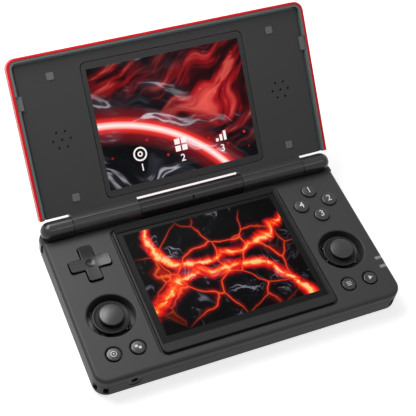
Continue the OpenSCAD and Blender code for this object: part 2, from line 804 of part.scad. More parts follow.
module dpad() color("#3f3f41") at_dpad() difference() {
  union() {
    translate([0, 0, spider_z + 0.7]) cylinder(r = 8.4, h = 0.8);
    intersection() {
      for (a = [0, 90]) rotate(a) plan_sweep(dpad_span, dpad_arm, 1.4)
        soft_profile(spider_z + 0.7, z_top + dpad_rise, eps, dpad_edge);
      // crown of the pad, over the tips of its arms
      translate([0, 0, z_top + dpad_rise - 150]) sphere(150, $fn = 200);
    }
    for (s = [-1, 1]) translate([0, s * (spider_out + 0.6), spider_z - 0.75])
      linear_extrude(1.6) square([1.8, 1.2], center = true);
  }
  translate([0, 0, spider_z]) rotate([90, 0, 0]) cylinder(r = spider_r + 0.05, h = 20, center = true);
  translate([0, 0, z_top + dpad_rise + 2.7]) sphere(3.6);
}

// rubber contact pads on the board
module contact_pads() color("#3b3b3d") place() {
  translate([-ctrl_x, pad_y, board_top]) difference() {
    cylinder(r = 9, h = pad_t);
    translate([0, 0, -1]) cylinder(r = 5.2, h = pad_t + 2);
  }
  at_buttons() translate([0, 0, board_top]) cylinder(r = 3, h = pad_t);
  at_keys() translate([0, 0, board_top]) cylinder(r = 1.9, h = pad_t + 0.6);
}

// round button held under the top plate by its flange
module plunger(r, rise, foot, foot_r) {
  crowned(r, hole_skin - flange_t, z_top + rise, 24, button_edge);
  translate([0, 0, hole_skin - flange_t]) cylinder(r = r + 0.8, h = flange_t);
  translate([0, 0, foot]) cylinder(r = foot_r, h = hole_skin - flange_t - foot + 0.1);
}

module face_button(a) color("#4a4a4c") place() translate([ctrl_x, pad_y, 0])
  rotate(a) translate([button_out, 0, 0]) plunger(button_r, button_rise, board_top + pad_t + 0.9, 1.8);

module button_east() face_button(0);
module button_north() face_button(90);
module button_west() face_button(180);
module button_south() face_button(270);

module small_key(s, k) color("#3f3f41") place() translate([s * (ctrl_x + k * key_pitch), key_y, 0])
  plunger(key_r, key_rise, board_top + pad_t + 1.2, 1.5);

module key_home() small_key(-1, 0.5);
module key_swap() small_key(-1, -0.5);
module key_menu() small_key(1, -0.5);
module key_play() small_key(1, 0.5);

// corner button, at the right: a bent wall that turns on an upright rod
module bumper() difference() {
  union() {
    translate([0, 0, button_low]) linear_extrude(bumper_top - button_low) intersection() {
      wall_plan(bumper_out, bumper_t);
      corner_zone(bumper_len, bumper_wrap);
    }
    translate([bumper_post_x, bumper_post_y, button_low]) cylinder(r = 1.5, h = bumper_top - button_low);
  }
  translate([bumper_post_x, bumper_post_y, 0]) cylinder(r = rod_r + 0.05, h = z_top);
}

module bumper_left() color("#353537") place() mirror([1, 0, 0]) bumper();
module bumper_right() color("#353537") place() bumper();

// inner button, at the right: a flap that turns on a rod along its upper edge
module trigger() difference() {
  translate([trigger_x0, 0, 0]) rotate([90, 0, 90]) linear_extrude(trigger_len) {
    translate([rod_y, rod_z]) circle(1.1);
    square_from(back_y - bumper_t + 0.2, button_low, back_y + bumper_out - 0.6, rod_z);
    square_from(back_y - 1, button_low + 0.6, back_y + bumper_out, rod_z - 0.4);
    translate([back_y + bumper_out - 0.6, button_low + 0.6]) circle(0.6);
    translate([back_y + bumper_out - 0.6, rod_z - 0.4]) circle(0.6);
  }
  translate([trigger_x0 - 1, rod_y, rod_z]) rotate([0, 90, 0]) cylinder(r = rod_r + 0.05, h = trigger_len + 2);
}

module trigger_left() color("#353537") place() mirror([1, 0, 0]) trigger();
module trigger_right() color("#353537") place() trigger();

// rocks on the round rib down its back
module volume_rocker() color("#3f3f41") place() {
  edge_key(rocker_y, rocker_l, side_x - 1.9, 0);
  translate([side_x - 1.9, rocker_y, key_low]) cylinder(r = 0.7, h = key_high - key_low);
}

module power_button() color("#3f3f41") place() edge_key(power_y, power_l, side_x - 1.9, 0);

// ---- lid, in its own frame: X across, Y away from the hinge, Z out of the face

module lid_plan(inset, r, y0) {
  intersection() {
    translate([0, (lid_far - 20) / 2 - inset / 2])
      rounded(2 * (lid_x - inset), lid_far + 20 - inset, max(r - inset, 0.6));
    square_from(-lid_x, y0, lid_x, lid_far + 1);
  }
}

module lid_prism(inset, y0, w0, w1) {
  translate([0, 0, w0]) linear_extrude(w1 - w0) lid_plan(inset, lid_corner_r, y0);
}

module lid_outer_shell() color("#e01822") in_lid() difference() {
  intersection() {
    translate([0, (lid_far - 20) / 2, 0]) plan_sweep(2 * lid_x, lid_far + 20, lid_corner_r)
      soft_profile(back_w, rim_w, lid_back_r, 0.3);
    box_from([-lid_x - 1, lid_low, back_w - 1], [lid_x + 1, lid_far + 1, rim_w + 1]);
  }
  lid_prism(shell_t, lid_low + 1.2, back_w + 1.3, rim_w + 1);
  lid_prism(shell_t, lid_low - 1, face_w - panel_t, rim_w + 1);
}

// U-shaped rim inside the red shell, with a floor under the moat
module lid_inner_rim() color("#4d5857") in_lid() difference() {
  lid_prism(shell_t + 0.05, lid_low, face_w - panel_t, rim_w - 0.2);
  lid_prism(shell_t + 0.05 + rim_t, lid_low - 1, face_w - moat_d, rim_w + 1);
  lid_prism(shell_t + rim_t + moat_w + 0.8, lid_low - 1, face_w - panel_t - 1, rim_w + 1);
  for (s = [-1, 1]) tab_place(s) translate([0, 0, face_w - moat_d]) linear_extrude(9)
    square([tab_w + 0.1, tab_l + 0.1], center = true);
}

module tab_place(s) {
  translate([s * (lid_x - shell_t - 0.3 - tab_w / 2), lid_far - tab_in, 0]) children();
}

module lid_side_bumpers() color("#8a8c8d") in_lid() for (s = [-1, 1])
  tab_place(s) translate([0, 0, face_w - moat_d]) linear_extrude(moat_d + 1)
    rounded(tab_w, tab_l, 0.5);

module glass_plan(g) {
  rounded(lens_w + 2 * g, lens_d + 2 * g, 3);
}

module lid_front_panel() color("#3a3a3b") in_lid() difference() {
  union() {
    // plate with a thinner edge that lies on the rim's floor
    lid_prism(shell_t + 0.05 + rim_t + moat_w, lid_low, face_w - moat_d, face_w);
    lid_prism(shell_t + rim_t + moat_w + 0.9, lid_low, face_w - panel_t, face_w);
    for (s = [0, 1]) mirror([s, 0, 0]) knuckle();
  }
  translate([0, screen_out, face_w - 6]) linear_extrude(12) glass_plan(lens_gap / 2);
  for (s = [-1, 1]) translate([s * beside, screen_out - 0.3, face_w - 3]) speaker_holes();
  at_pads() translate([0, 0, face_w - 0.3]) linear_extrude(2) square(3.9, center = true);
  for (s = [-1, 1]) tab_place(s) translate([0, 0, face_w - moat_d]) linear_extrude(9)
    square([tab_w + 0.1, tab_l + 0.1], center = true);
  for (s = [0, 1]) mirror([s, 0, 0]) {
    translate([mid_half - 1, 0, 0]) rotate([0, 90, 0])
      cylinder(r = pin_r + pin_fit, h = cap_seam - mid_half + 2);
    rotate([8.7 - lid_tilt, 0, 0]) translate([mid_half, -0.18, barrel_r - 0.25])
      cube([cap_seam - mid_half, 0.36, 1]);
  }
}

module knuckle() {
  x0 = mid_half + seam;
  x1 = cap_seam - seam;
  translate([x0, 0, 0]) rotate([0, 90, 0]) cylinder(r = barrel_r, h = x1 - x0);
  box_from([x0, 0, -barrel_r + 0.6], [x1, lid_low, face_w]);
  box_from([x0, 0, face_w - panel_t], [x1, lid_low + 1, face_w]);
  box_from([x0, 0, face_w - 0.1], [x1, barrel_r + 0.7, face_w + 0.5]);
}

module speaker_holes() {
  cylinder(r = 0.6, h = 6, $fn = 24);
  for (a = [0 : 60 : 300]) rotate(a) translate([4.4, 0, 0]) cylinder(r = 0.6, h = 6, $fn = 24);
}

module at_pads() {
  for (sx = [-1, 1], v = [1 - screen_h / 2, screen_h / 2 + 0.5])
    translate([sx * (beside - 0.7), screen_out + v, 0]) children();
}

module lid_pads() color("#6b6c6d") in_lid() at_pads() translate([0, 0, face_w - 0.3])
  linear_extrude(0.6) rounded(3.8, 3.8, 0.6);

module upper_glass() color("#333435") in_lid() translate([0, screen_out, face_w - lens_t])
  linear_extrude(lens_t) glass_plan(-lens_gap / 2);

module upper_display() color("#6d1414") in_lid() translate([0, screen_out, face_w - lens_t - 2.2])
  linear_extrude(2.2) rounded(screen_w + 2, screen_h + 2, 0.6);

module speaker(s) color("#202123") in_lid()
  translate([s * beside, screen_out - 0.3, face_w - panel_t - speaker_t])
    linear_extrude(speaker_t) rounded(speaker_w, speaker_l, 2);

module left_speaker() speaker(-1);
module right_speaker() speaker(1);

base_top_shell();
base_bottom_shell();
lower_bezel();
lower_touch_glass();
lower_display();
main_board();
battery();
mid_barrel();
left_end_cap();
right_end_cap();
hinge_pins();
button_pins();
headphone_jack();
usb_socket();
light_guides();
rubber_feet();
case_screws();
stick_trays();
dpad_cradle();
contact_pads();
dpad_spider();
dpad();
button_north();
button_east();
button_south();
button_west();
key_home();
key_swap();
key_menu();
key_play();
left_stick_carriage();
left_stick_yoke();
left_stick();
right_stick_carriage();
right_stick_yoke();
right_stick();
bumper_left();
bumper_right();
trigger_left();
trigger_right();
volume_rocker();
power_button();
lid_outer_shell();
lid_inner_rim();
lid_front_panel();
upper_glass();
upper_display();
left_speaker();
right_speaker();
lid_pads();
lid_side_bumpers();
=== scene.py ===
import math

import bpy
from mathutils import Matrix, Vector


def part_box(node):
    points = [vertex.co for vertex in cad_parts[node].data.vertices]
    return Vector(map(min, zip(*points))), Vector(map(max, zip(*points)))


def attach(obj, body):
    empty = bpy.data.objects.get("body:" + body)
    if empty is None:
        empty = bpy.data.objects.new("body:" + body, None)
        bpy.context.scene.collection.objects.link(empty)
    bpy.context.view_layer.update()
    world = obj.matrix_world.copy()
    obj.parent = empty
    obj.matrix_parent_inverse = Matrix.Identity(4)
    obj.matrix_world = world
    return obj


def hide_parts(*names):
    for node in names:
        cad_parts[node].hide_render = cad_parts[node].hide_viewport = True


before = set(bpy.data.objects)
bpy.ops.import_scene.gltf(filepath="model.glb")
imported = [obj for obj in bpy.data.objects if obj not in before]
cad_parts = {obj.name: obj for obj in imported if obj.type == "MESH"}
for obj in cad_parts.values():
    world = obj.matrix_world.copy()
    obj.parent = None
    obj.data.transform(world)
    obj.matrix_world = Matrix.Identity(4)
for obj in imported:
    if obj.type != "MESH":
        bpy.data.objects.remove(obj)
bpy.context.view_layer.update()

MM = 0.001


# ---- Housing halves
# Two injection-moulded halves in charcoal ABS, spark-eroded to a fine matt grain.
# The lower one carries the strap slots and the vents, the upper one the controls.

def linear(code):
    """The linear colour of an sRGB hex code, with its alpha."""
    channels = [int(code[i:i + 2], 16) / 255 for i in (1, 3, 5)]
    return [c / 12.92 if c <= 0.04045 else ((c + 0.055) / 1.055) ** 2.4 for c in channels] + [1.0]


def add(tree, kind, inputs=(), **settings):
    """Adds a node; inputs pairs a socket with a value or with another node's output."""
    made = tree.nodes.new(kind)
    for name, value in settings.items():
        setattr(made, name, value)
    for socket, value in dict(inputs).items():
        if isinstance(value, bpy.types.NodeSocket):
            tree.links.new(value, made.inputs[socket])
        else:
            made.inputs[socket].default_value = value
    return made


def start_finish(name):
    """A new material with its tree, its shader and the piece's own coordinates."""
    material = bpy.data.materials.new(name)
    material.use_nodes = True
    tree = material.node_tree
    place = add(tree, "ShaderNodeTexCoord").outputs["Object"]
    return material, tree, tree.nodes["Principled BSDF"], place


def mottled(tree, place, colour, patch, lift):
    """A colour that grows lighter by a factor over patches of a given size (mm)."""
    broad = add(tree, "ShaderNodeTexNoise", {"Vector": place, "Scale": 1 / (patch * MM), "Detail": 2.0})
    base = linear(colour)
    lighter = [c * lift for c in base[:3]] + [1.0]
    return add(tree, "ShaderNodeMix", {0: broad.outputs[0], 6: base, 7: lighter}, data_type="RGBA").outputs[2]


def vary_roughness(tree, shader, value, roughness, spread):
    """Lets the roughness follow a value, within a spread either way."""
    matt = add(tree, "ShaderNodeMapRange", {"Value": value, "To Min": roughness - spread,
                                            "To Max": roughness + spread})
    tree.links.new(matt.outputs[0], shader.inputs["Roughness"])


def soft_bump(tree, shader, height, depth, strength, edge):
    """Bumps of a depth over edges that look broken by a radius (mm)."""
    soft = add(tree, "ShaderNodeBevel", {"Radius": edge * MM}, samples=4)
    bump = add(tree, "ShaderNodeBump", {"Height": height, "Distance": depth * MM, "Strength": strength,
                                        "Normal": soft.outputs[0]})
    tree.links.new(bump.outputs[0], shader.inputs["Normal"])


def moulded(name, colour, roughness, grain, depth, edge=0.2, ior=1.5, shine=0.5):
    """Moulded plastic: an even tone, eroded grain of a real size, softly broken edges (mm)."""
    material, tree, shader, place = start_finish(name)
    # the grain is about a fifth of a millimetre on the real one, and drawn coarser to show
    fine = add(tree, "ShaderNodeTexNoise", {"Vector": place, "Scale": 1 / (grain * MM), "Detail": 3.0})
    tree.links.new(mottled(tree, place, colour, 22, 1.12), shader.inputs["Base Color"])
    vary_roughness(tree, shader, fine.outputs[0], roughness, 0.05)
    soft_bump(tree, shader, fine.outputs[0], depth, 0.6, edge)
    shader.inputs["IOR"].default_value = ior
    shader.inputs["Specular IOR Level"].default_value = shine
    return material


def finish_nodes(material, *names):
    """Gives CAD nodes a material in every slot."""
    for name in names:
        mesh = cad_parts[name].data
        if not mesh.materials:
            mesh.materials.append(material)
        for slot in range(len(mesh.materials)):
            mesh.materials[slot] = material


finish_nodes(moulded("charcoal_abs_eroded", "#303031", 0.5, 0.5, 0.03, shine=0.22),
             "base_top_shell", "base_bottom_shell")


# ---- Feet and case screws
# Four black rubber feet in shallow recesses, and six zinc-plated machine screws
# with hexagon sockets, sunk into counterbores.

finish_nodes(moulded("black_foot_rubber", "#1c1c1c", 0.8, 0.4, 0.05), "rubber_feet")


def metal(name, colour, roughness, scratch):
    """Bare metal with fine drawn marks of a real spacing (mm) along one way."""
    material, tree, shader, place = start_finish(name)
    stretched = add(tree, "ShaderNodeMapping", {"Vector": place, "Scale": (1, 1, 12)})
    marks = add(tree, "ShaderNodeTexNoise", {"Vector": stretched.outputs[0], "Scale": 1 / (scratch * MM),
                                             "Detail": 2.0})
    vary_roughness(tree, shader, marks.outputs[0], roughness, 0.08)
    shader.inputs["Base Color"].default_value = linear(colour)
    shader.inputs["Metallic"].default_value = 1.0
    return material


finish_nodes(metal("zinc_plated_steel", "#b4b6ba", 0.35, 0.6),
             "case_screws", "hinge_pins", "button_pins", "usb_socket", "dpad_spider",
             "left_stick_carriage", "right_stick_carriage")


# ---- Inside: board, battery, sockets and stick works
# Black soldermask, a film-wrapped cell, black and off-white engineering plastics.
# They show through the wells, the vents and the gaps round the controls.

def soldermask():
    """Glass-fibre board under glossy black lacquer, with faint traces."""
    material, tree, shader, place = start_finish("black_soldermask")
    traces = add(tree, "ShaderNodeTexBrick", {"Vector": place, "Scale": 1 / (6 * MM), "Mortar Size": 0.02,
                                              "Color1": linear("#101113"), "Color2": linear("#141517"),
                                              "Mortar": linear("#1c1d20")})
    tree.links.new(traces.outputs["Color"], shader.inputs["Base Color"])
    shader.inputs["Roughness"].default_value = 0.35
    return material


finish_nodes(soldermask(), "main_board")
finish_nodes(moulded("cell_wrap_film", "#3a3d42", 0.35, 3, 0.02), "battery")
finish_nodes(moulded("black_pbt", "#141415", 0.5, 0.4, 0.02),
             "headphone_jack", "stick_trays", "left_speaker", "right_speaker")
finish_nodes(moulded("natural_acetal", "#c9c9c2", 0.4, 0.8, 0.01),
             "left_stick_yoke", "right_stick_yoke", "dpad_cradle")
finish_nodes(moulded("dark_silicone", "#2b2b2c", 0.7, 0.6, 0.02), "contact_pads")


# ---- Lower screen
# A glued-in bezel, and toughened glass with a dark border printed behind it, whose picture area glows
# with a wallpaper of its own in place of the display panel under it.

finish_nodes(moulded("charcoal_abs_fine", "#222223", 0.42, 0.4, 0.015, edge=0.25, shine=0.16), "lower_bezel")
SCREEN = (81.3 * MM, 61 * MM)
# the picture's middle lies this much further back than the lower glass's
LOWER_PICTURE_BACK = 0.75 * MM
# how much the glass mirrors over its border, and how much less over the picture
BORDER_SHINE = 0.1
PICTURE_LOSS = 0.07


def maths(tree, operation, first, second=0.0, clamp=False):
    """One sum on two numbers or outputs."""
    return add(tree, "ShaderNodeMath", {0: first, 1: second}, operation=operation, use_clamp=clamp).outputs[0]


def vectors(tree, operation, first, second=(0, 0, 0)):
    """One sum on two vectors or outputs."""
    return add(tree, "ShaderNodeVectorMath", {0: first, 1: second}, operation=operation).outputs[0]


def scaled(tree, vector, factor):
    """A vector times a number."""
    return add(tree, "ShaderNodeVectorMath", {0: vector, "Scale": factor}, operation="SCALE").outputs[0]


def length(tree, vector):
    """How long a vector is."""
    return add(tree, "ShaderNodeVectorMath", {0: vector}, operation="LENGTH").outputs["Value"]


def spin(tree, vector, axis, angle):
    """A vector turned about the X or Z axis."""
    return add(tree, "ShaderNodeVectorRotate", {"Vector": vector, "Angle": angle},
               rotation_type=axis + "_AXIS").outputs[0]


def blend_colours(tree, share, first, second, how="MIX"):
    """Mixes two colours by a share."""
    return add(tree, "ShaderNodeMix", {0: share, 6: first, 7: second}, data_type="RGBA",
               blend_type=how).outputs[2]


def ramp(tree, value, stops):
    """A colour ramp through (place, hex) stops."""
    made = add(tree, "ShaderNodeValToRGB", {0: value})
    elements = made.color_ramp.elements
    while len(elements) < len(stops):
        elements.new(0.5)
    for element, (place, code) in zip(elements, stops):
        element.position = place
        element.color = linear(code)
    return made.outputs[0]


def screen_glass(name, centre, tilt, border, paint):
    """Glass backed by a printed border, whose picture area glows; paint draws it on the screen's plane."""
    material, tree, shader, place = start_finish(name)
    turned = spin(tree, vectors(tree, "SUBTRACT", place, centre), "X", -tilt)
    # plane coordinates: x runs from -1 to 1 across the picture, y from -0.75 to 0.75
    axes = add(tree, "ShaderNodeSeparateXYZ", {0: scaled(tree, turned, 2 / SCREEN[0])})
    across = maths(tree, "LESS_THAN", maths(tree, "ABSOLUTE", axes.outputs[0]), 1.0)
    along = maths(tree, "LESS_THAN", maths(tree, "ABSOLUTE", axes.outputs[1]), SCREEN[1] / SCREEN[0])
    lit = maths(tree, "MULTIPLY", across, along)
    flat = add(tree, "ShaderNodeCombineXYZ", {0: axes.outputs[0], 1: axes.outputs[1]})
    picture = paint(tree, flat.outputs[0])
    tree.links.new(blend_colours(tree, lit, (0, 0, 0, 1), picture), shader.inputs["Emission Color"])
    shader.inputs["Emission Strength"].default_value = 1.0
    tree.links.new(blend_colours(tree, lit, linear(border), linear("#040405")), shader.inputs["Base Color"])
    # the panel lies optically bonded behind an anti-reflective coat, so it mirrors little
    loss = maths(tree, "MULTIPLY", lit, PICTURE_LOSS)
    tree.links.new(maths(tree, "SUBTRACT", BORDER_SHINE, loss), shader.inputs["Specular IOR Level"])
    shader.inputs["Roughness"].default_value = 0.25
    return material


def warped(tree, plane, scale, amount, seed):
    """The plane, pushed about by a smooth noise."""
    noise = add(tree, "ShaderNodeTexNoise", {"Vector": plane, "W": seed, "Scale": scale, "Detail": 2.0,
                                             "Roughness": 0.5}, noise_dimensions="4D")
    centred = vectors(tree, "SUBTRACT", noise.outputs["Color"], (0.5, 0.5, 0.5))
    return vectors(tree, "ADD", plane, scaled(tree, centred, amount))


def distance(tree, plane, centre, stretch=(1, 1, 0), turn=0.0):
    """How far a point of the plane is from centre, with the plane turned and stretched first."""
    spun = spin(tree, vectors(tree, "SUBTRACT", plane, centre), "Z", math.radians(turn))
    return length(tree, vectors(tree, "MULTIPLY", spun, stretch))


def near(tree, gap, reach):
    """1 where a gap is 0, falling to 0 at reach."""
    return maths(tree, "SUBTRACT", 1.0, maths(tree, "DIVIDE", gap, reach), clamp=True)


def flames(tree, plane, centre, radius, width, stretch, turn, seed):
    """Fire that runs along an oval ribbon, white-hot in its middle."""
    bent = warped(tree, warped(tree, plane, 1.4, 0.5, seed), 5.0, 0.13, seed + 4)
    out = distance(tree, bent, centre, stretch, turn)
    off = maths(tree, "ABSOLUTE", maths(tree, "SUBTRACT", out, radius))
    fibres = add(tree, "ShaderNodeTexNoise", {"Vector": bent, "Scale": 6.0, "Detail": 5.0, "Roughness": 0.6,
                                              "Distortion": 1.2})
    body = maths(tree, "MULTIPLY", near(tree, off, width), maths(tree, "MULTIPLY", fibres.outputs[0], 2.0))
    return ramp(tree, body, ((0.0, "#000000"), (0.2, "#1e0208"), (0.38, "#86060f"), (0.58, "#dc160e"),
                             (0.76, "#ff4614"), (0.9, "#ff8a38"), (1.0, "#ffcc88")))


def crust(tree, plane, seed):
    """Dark glossy plates of slate, parted by glowing cracks."""
    bent = warped(tree, warped(tree, plane, 1.2, 0.55, seed), 4.5, 0.1, seed + 5)
    gap = add(tree, "ShaderNodeTexVoronoi", {"Vector": bent, "Scale": 1.9, "Randomness": 0.9},
              feature="DISTANCE_TO_EDGE").outputs["Distance"]
    shine = add(tree, "ShaderNodeTexNoise", {"Vector": warped(tree, bent, 2.4, 0.8, seed + 2), "Scale": 2.6,
                                             "Detail": 2.0, "Distortion": 1.5})
    slate = ramp(tree, shine.outputs[0], ((0.36, "#020203"), (0.49, "#08070a"), (0.57, "#1c1921"),
                                          (0.62, "#958f9f"), (0.65, "#1e1a23"), (0.8, "#050406")))
    shade = ramp(tree, gap, ((0.0, "#000000"), (0.12, "#6a6a6a"), (0.3, "#ffffff")))
    crack = ramp(tree, gap, ((0.0, "#f06a24"), (0.01, "#c41a0c"), (0.03, "#5a060c"), (0.07, "#140204"),
                             (0.14, "#000000")))
    return blend_colours(tree, 1.0, slate, shade, "MULTIPLY"), crack


def ember_picture(tree, plane):
    """Wallpaper: plates of dark crust with ribbons of fire running over their cracks."""
    slate, crack = crust(tree, plane, 3.0)
    first = flames(tree, plane, (-0.1, -0.95, 0), 1.0, 0.17, (0.9, 1.15, 0), 12, 3.0)
    second = flames(tree, plane, (0.35, 0.85, 0), 1.0, 0.12, (0.85, 1.5, 0), -24, 17.0)
    fire = blend_colours(tree, 1.0, first, second, "SCREEN")
    # the cracks glow only in the middle, and the corners stay nearly black
    wavy = warped(tree, plane, 1.5, 0.4, 40.0)
    middle = near(tree, distance(tree, wavy, (0, -0.05, 0), (0.9, 1.2, 0)), 1.15)
    bright = ramp(tree, middle, ((0.1, "#000000"), (0.45, "#ffffff")))
    glow = blend_colours(tree, 1.0, crack, bright, "MULTIPLY")
    vignette = ramp(tree, middle, ((0.0, "#202020"), (0.4, "#ffffff")))
    body = blend_colours(tree, 1.0, slate, vignette, "MULTIPLY")
    return blend_colours(tree, 1.0, blend_colours(tree, 1.0, body, glow, "SCREEN"), fire, "SCREEN")


def node_middle(name):
    """The middle of a CAD node's box at rest."""
    low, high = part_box(name)
    return (Vector(low) + Vector(high)) / 2


lower_picture = node_middle("lower_touch_glass") + Vector((0, LOWER_PICTURE_BACK, 0))
finish_nodes(screen_glass("printed_glass_lower", lower_picture, 0.0, "#0e0e0f", ember_picture),
             "lower_touch_glass")
finish_nodes(moulded("display_back_film", "#20191b", 0.3, 4, 0.01), "lower_display", "upper_display")


# ---- Controls
# Direction pad, face buttons and keys in dark ABS with a satin face; stick caps
# in black grip rubber. The marks are pad-printed in white.

finish_nodes(moulded("black_abs_gloss", "#101011", 0.17, 0.8, 0.004, edge=0.35, ior=1.45, shine=0.28), "dpad")
finish_nodes(moulded("dark_abs_satin", "#232324", 0.26, 0.6, 0.01, edge=0.35),
             "button_north", "button_east", "button_south", "button_west",
             "key_home", "key_swap", "key_menu", "key_play", "volume_rocker", "power_button",
             "bumper_left", "bumper_right", "trigger_left", "trigger_right")


def grip_rubber():
    """Black rubber: the caps worn satin, the sliding dishes below them dead matt."""
    material = moulded("black_grip_rubber", "#262626", 0.34, 0.5, 0.02, edge=0.3)
    tree = material.node_tree
    shader = tree.nodes["Principled BSDF"]
    height = add(tree, "ShaderNodeSeparateXYZ", {0: add(tree, "ShaderNodeTexCoord").outputs["Object"]})
    # the dishes lie more than 1.2 mm below the base's top, and the caps rise from 0.4 mm below it
    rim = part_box("base_top_shell")[1][2]
    worn = add(tree, "ShaderNodeMapRange", {"Value": height.outputs[2], "From Min": rim - 1.2 * MM,
                                            "From Max": rim - 0.4 * MM, "To Min": 0.1, "To Max": 0.4})
    tree.links.new(worn.outputs[0], shader.inputs["Specular IOR Level"])
    return material


finish_nodes(grip_rubber(), "left_stick", "right_stick")


def deselect():
    """Leaves nothing selected."""
    bpy.ops.object.select_all(action="DESELECT")


def choose(piece):
    """Selects one piece alone and makes it active."""
    deselect()
    bpy.context.view_layer.objects.active = piece
    piece.select_set(True)


def cut_in_squares(piece, middle, spacing, count):
    """Cuts a piece along a square grid: count lines each side of a middle, a spacing (mm) apart."""
    choose(piece)
    bpy.ops.object.mode_set(mode="EDIT")
    for axis in ((1, 0, 0), (0, 1, 0)):
        for step in range(-count, count + 1):
            place = [m + a * step * spacing * MM for m, a in zip(middle, axis)]
            bpy.ops.mesh.select_all(action="SELECT")
            bpy.ops.mesh.bisect(plane_co=place, plane_no=axis)
    bpy.ops.object.mode_set(mode="OBJECT")


def repaint(piece, material):
    """Gives a piece of the scene one material."""
    piece.data.materials.clear()
    piece.data.materials.append(material)


def print_ink():
    """White pad-print ink, slightly uneven."""
    material, tree, shader, place = start_finish("white_pad_print")
    cloud = add(tree, "ShaderNodeTexNoise", {"Vector": place, "Scale": 1 / (1.2 * MM)})
    tone = ramp(tree, cloud.outputs[0], ((0.3, "#b4b4b4"), (0.7, "#d2d2d2")))
    tree.links.new(tone, shader.inputs["Base Color"])
    shader.inputs["Roughness"].default_value = 0.5
    return material


# of the direction pad, in mm: how far its underside stands above its lowest point, how much higher the
# hollow one's is, over which height the hollow fades out, and how deep it is
PAD_UNDERSIDE = 1.45
PAD_LIFT = 0.06
PAD_FADE = 1.4
PAD_HOLLOW = 1.0


def hollow_pad():
    """The direction pad with its four arms pressed hollow towards the middle."""
    low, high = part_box("dpad")
    middle = node_middle("dpad")
    reach = (high.x - low.x) / 2
    pad = bpy.data.objects.new("direction_pad_hollow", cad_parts["dpad"].data.copy())
    bpy.context.collection.objects.link(pad)
    choose(pad)
    bpy.ops.mesh.customdata_custom_splitnormals_clear()
    cut_in_squares(pad, middle, 1, 10)
    for vertex in pad.data.vertices:
        # the underside stands a little higher, clear of the spider's pins at full tilt
        if abs(vertex.co.z - low.z - PAD_UNDERSIDE * MM) < 0.01 * MM:
            vertex.co.z += PAD_LIFT * MM
        out = math.hypot(vertex.co.x - middle.x, vertex.co.y - middle.y) / reach
        share = min(max((vertex.co.z - high.z) / (PAD_FADE * MM) + 1, 0), 1)
        vertex.co.z -= PAD_HOLLOW * MM * share * max(1 - out ** 2, 0)
    bpy.ops.object.shade_smooth_by_angle(angle=math.radians(35))
    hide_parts("dpad")
    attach(pad, "dpad")


hollow_pad()
white_ink = print_ink()
# half the thickness of a printed mark, the radius of the buttons' crown and the height of a figure
INK = 0.05 * MM
CROWN = 24 * MM
FIGURE = 3.6 * MM


def print_on(mark, node):
    """Cuts a mark into facets, lowers them onto a button's crown and makes the mark ride with the button."""
    cut_in_squares(mark, (0, 0, 0), 0.5, 4)
    for vertex in mark.data.vertices:
        vertex.co.z -= (vertex.co.x ** 2 + vertex.co.y ** 2) / (2 * CROWN)
    middle = node_middle(node)
    mark.data.transform(Matrix.Translation((middle.x, middle.y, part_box(node)[1][2])))
    repaint(mark, white_ink)
    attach(mark, node)


def figure_mesh(name, figure):
    """A plain figure as a thin mesh, centred on the origin, half sunk."""
    deselect()
    bpy.ops.object.text_add(location=(0, 0, 0))
    text = bpy.context.object
    text.name = name
    text.data.body = figure
    # a figure is 0.7 of its font's size high
    text.data.size = FIGURE / 0.7
    text.data.align_x = "CENTER"
    text.data.align_y = "CENTER"
    text.data.offset = FIGURE * 0.01
    text.data.extrude = INK
    text.data.resolution_u = 6
    bpy.ops.object.convert(target="MESH")
    return text


def outline_mesh(name, outlines):
    """Thin printed shapes from closed outlines in mm, each a list of points, half sunk."""
    mesh = bpy.data.meshes.new(name)
    points = [(x * MM, y * MM, -INK) for outline in outlines for x, y in outline]
    faces, first = [], 0
    for outline in outlines:
        faces.append(list(range(first, first + len(outline))))
        first += len(outline)
    mesh.from_pydata(points, [], faces)
    mark = bpy.data.objects.new(name, mesh)
    bpy.context.collection.objects.link(mark)
    choose(mark)
    bpy.ops.object.mode_set(mode="EDIT")
    bpy.ops.mesh.select_all(action="SELECT")
    bpy.ops.mesh.remove_doubles(threshold=0.001 * MM)
    bpy.ops.mesh.select_all(action="SELECT")
    bpy.ops.mesh.extrude_region_move(TRANSFORM_OT_translate={"value": (0, 0, 2 * INK)})
    bpy.ops.mesh.select_all(action="SELECT")
    bpy.ops.mesh.normals_make_consistent(inside=False)
    bpy.ops.object.mode_set(mode="OBJECT")
    return mark


def ring_quads(radius, width, steps=24):
    """A ring in quads."""
    turn = [math.radians(360 * i / steps) for i in range(steps + 1)]
    inner = radius - width
    return [[(radius * math.cos(a), radius * math.sin(a)), (radius * math.cos(b), radius * math.sin(b)),
             (inner * math.cos(b), inner * math.sin(b)), (inner * math.cos(a), inner * math.sin(a))]
            for a, b in zip(turn, turn[1:])]


def bar(x0, y0, x1, y1):
    """A bar between two corners."""
    return [(x0, y0), (x1, y0), (x1, y1), (x0, y1)]


for figure, button in zip("1234", ("button_north", "button_east", "button_south", "button_west")):
    print_on(figure_mesh("mark_" + button, figure), button)

KEY_MARKS = {
    "key_home": ring_quads(1.5, 0.3) + [bar(-0.3, -0.3, 0.3, 0.3)],
    "key_swap": [bar(-1.4, 0, -0.1, 1.2), bar(0.1, -1.2, 1.4, 0)],
    "key_menu": [bar(-1.3, y - 0.15, 1.3, y + 0.15) for y in (-0.9, 0, 0.9)],
    "key_play": [[(-0.8, -1.2), (1.3, 0), (-0.8, 1.2)]],
}
for node, outlines in KEY_MARKS.items():
    print_on(outline_mesh("mark_" + node, outlines), node)


# ---- Light windows
# Two guides of frosted grey polycarbonate, set flush in the right edge.

